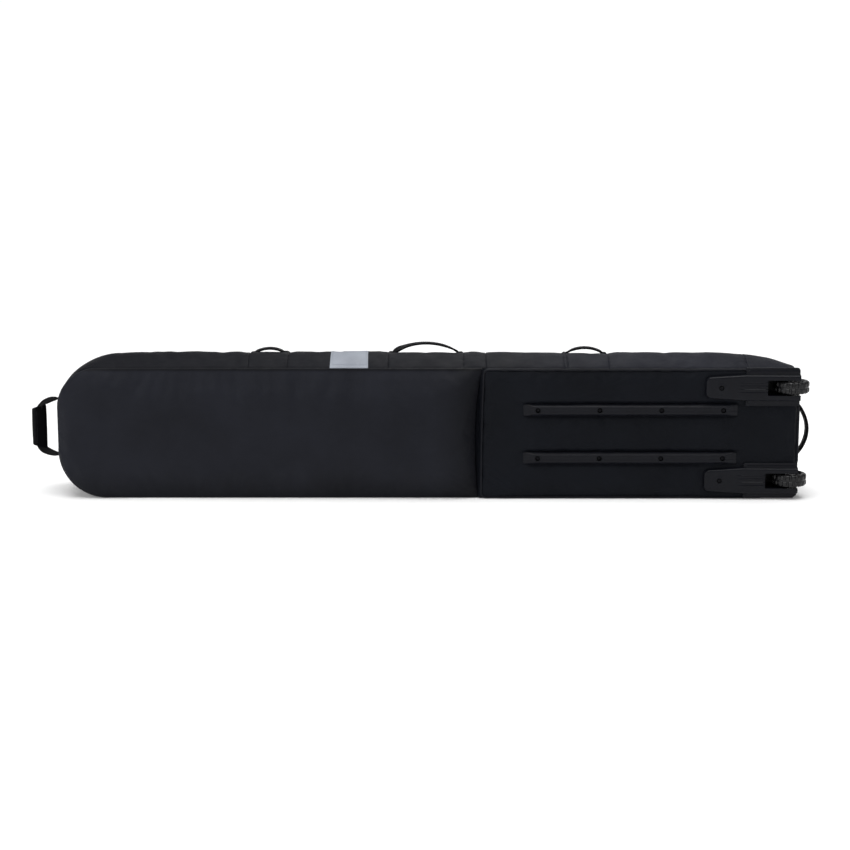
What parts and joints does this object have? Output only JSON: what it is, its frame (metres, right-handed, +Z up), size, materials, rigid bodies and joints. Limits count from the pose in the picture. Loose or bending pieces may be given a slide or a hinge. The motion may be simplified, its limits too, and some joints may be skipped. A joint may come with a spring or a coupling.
{
  "type": "wheeled snowboard bag",
  "caption": "Long padded snowboard travel bag with a full-length zipped lid, haul handles, skid rails on its base and inset wheels at the tail.",
  "frame": {"origin": "centre of the bounding box in X and Y, on the surface that the bag's long side stands on", "axes": "+X along the bag from the nose to the wheeled tail, +Y from the base with its rails to the zipped lid, +Z up as the bag stands on its long side"},
  "size_m": [1.846, 0.222, 0.356],
  "materials": {
    "shell_fabric": "matte",
    "base_fabric": "matte",
    "piping": "satin",
    "lining": "matte",
    "webbing": "matte",
    "grip_fabric": "matte",
    "label_cloth": "satin",
    "zip_tape": "matte",
    "zip_pull": "matte",
    "zip_metal": "satin",
    "rivet_metal": "satin",
    "steel": "satin",
    "moulded_plastic": "satin",
    "wheel_hub": "satin",
    "wheel_tyre": "satin",
    "board_plastic": "satin",
    "buckle_plastic": "satin"
  },
  "bodies": {
    "root": {"top_gusset": "shell_fabric", "bottom_gusset": "shell_fabric", "nose_gusset": "shell_fabric", "tail_gusset": "shell_fabric", "nose_base_panel": "base_fabric", "tail_base_panel": "base_fabric", "tail_panel_piping": "piping", "stiffener_board": "board_plastic", "base_liner": "lining", "skid_rail_upper": "moulded_plastic", "skid_rail_lower": "moulded_plastic", "rail_rivet_upper_1": "rivet_metal", "rail_rivet_upper_2": "rivet_metal", "rail_rivet_upper_3": "rivet_metal", "rail_rivet_upper_4": "rivet_metal", "rail_rivet_lower_1": "rivet_metal", "rail_rivet_lower_2": "rivet_metal", "rail_rivet_lower_3": "rivet_metal", "rail_rivet_lower_4": "rivet_metal", "housing_rivet_upper": "rivet_metal", "housing_rivet_lower": "rivet_metal", "wheel_housing_upper": "moulded_plastic", "wheel_housing_lower": "moulded_plastic", "wheel_axle_upper": "steel", "wheel_axle_lower": "steel", "label_patch": "label_cloth", "zip_tape_body": "zip_tape", "strap_webbing_low_nose": "webbing", "strap_webbing_low_tail": "webbing", "strap_webbing_high_nose": "webbing", "strap_webbing_high_tail": "webbing", "strap_buckle_socket_nose": "buckle_plastic", "strap_buckle_socket_tail": "buckle_plastic"},
    "lid": {"lid_band": "shell_fabric", "lid_panel": "shell_fabric", "lid_liner": "lining", "zip_tape_lid": "zip_tape"},
    "wheel_upper": {"wheel_tyre_upper": "wheel_tyre", "wheel_hub_upper": "wheel_hub", "wheel_bearing_upper_1": "steel", "wheel_bearing_upper_2": "steel"},
    "wheel_lower": {"wheel_tyre_lower": "wheel_tyre", "wheel_hub_lower": "wheel_hub", "wheel_bearing_lower_1": "steel", "wheel_bearing_lower_2": "steel"},
    "haul_loop_nose": {"haul_handle_nose": "webbing"},
    "haul_loop_middle": {"haul_handle_middle": "webbing"},
    "haul_loop_tail": {"haul_handle_tail": "webbing"},
    "nose_loop": {"nose_handle_webbing": "webbing", "nose_handle_grip": "grip_fabric"},
    "tail_loop": {"tail_handle": "webbing"},
    "slider_nose": {"zip_slider_nose": "zip_metal"},
    "slider_tail": {"zip_slider_tail": "zip_metal"},
    "pull_nose": {"zip_pull_nose": "zip_pull"},
    "pull_tail": {"zip_pull_tail": "zip_pull"},
    "tongue_nose": {"strap_buckle_tongue_nose": "buckle_plastic"},
    "tongue_tail": {"strap_buckle_tongue_tail": "buckle_plastic"}
  },
  "joints": [
    {"name": "lid_hinge", "type": "hinge", "parent": "root", "child": "lid", "pos_m": [0, 0.097, 0.012], "axis": [-1, 0, 0], "range_deg": [0, 85]},
    {"name": "wheel_upper_spin", "type": "hinge", "parent": "root", "child": "wheel_upper", "pos_m": [0.8695, -0.071, 0.265], "axis": [0, 0, 1], "continuous": true},
    {"name": "wheel_lower_spin", "type": "hinge", "parent": "root", "child": "wheel_lower", "pos_m": [0.8695, -0.071, 0.045], "axis": [0, 0, 1], "continuous": true},
    {"name": "haul_handle_nose_flop", "type": "hinge", "parent": "root", "child": "haul_loop_nose", "pos_m": [-0.356, 0.02, 0.331], "axis": [1, 0, 0], "range_deg": [-55, 55]},
    {"name": "haul_handle_middle_flop", "type": "hinge", "parent": "root", "child": "haul_loop_middle", "pos_m": [0.014, 0.02, 0.331], "axis": [1, 0, 0], "range_deg": [-55, 55]},
    {"name": "haul_handle_tail_flop", "type": "hinge", "parent": "root", "child": "haul_loop_tail", "pos_m": [0.3905, 0.02, 0.331], "axis": [1, 0, 0], "range_deg": [-55, 55]},
    {"name": "nose_handle_swing", "type": "hinge", "parent": "root", "child": "nose_loop", "pos_m": [-0.8635, 0, 0.155], "axis": [0, 0, 1], "range_deg": [-65, 65]},
    {"name": "tail_handle_swing", "type": "hinge", "parent": "root", "child": "tail_loop", "pos_m": [0.8915, 0, 0.15], "axis": [0, 0, 1], "range_deg": [-60, 60]},
    {"name": "zip_slider_nose_slide", "type": "slide", "parent": "root", "child": "slider_nose", "axis": [-1, 0, 0], "range_m": [0, 0.5]},
    {"name": "zip_slider_tail_slide", "type": "slide", "parent": "root", "child": "slider_tail", "axis": [1, 0, 0], "range_m": [0, 0.75]},
    {"name": "zip_pull_nose_hinge", "type": "hinge", "parent": "slider_nose", "child": "pull_nose", "pos_m": [-0.1805, 0.0762, 0.3152], "axis": [1, 0, 0], "range_deg": [0, 150]},
    {"name": "zip_pull_tail_hinge", "type": "hinge", "parent": "slider_tail", "child": "pull_tail", "pos_m": [-0.1565, 0.0762, 0.3152], "axis": [1, 0, 0], "range_deg": [0, 150]},
    {"name": "strap_buckle_nose_release", "type": "slide", "parent": "root", "child": "tongue_nose", "axis": [0, 0, 1], "range_m": [0, 0.034], "deforming": ["strap_webbing_high_nose"]},
    {"name": "strap_buckle_tail_release", "type": "slide", "parent": "root", "child": "tongue_tail", "axis": [0, 0, 1], "range_m": [0, 0.034], "deforming": ["strap_webbing_high_tail"]}
  ]
}
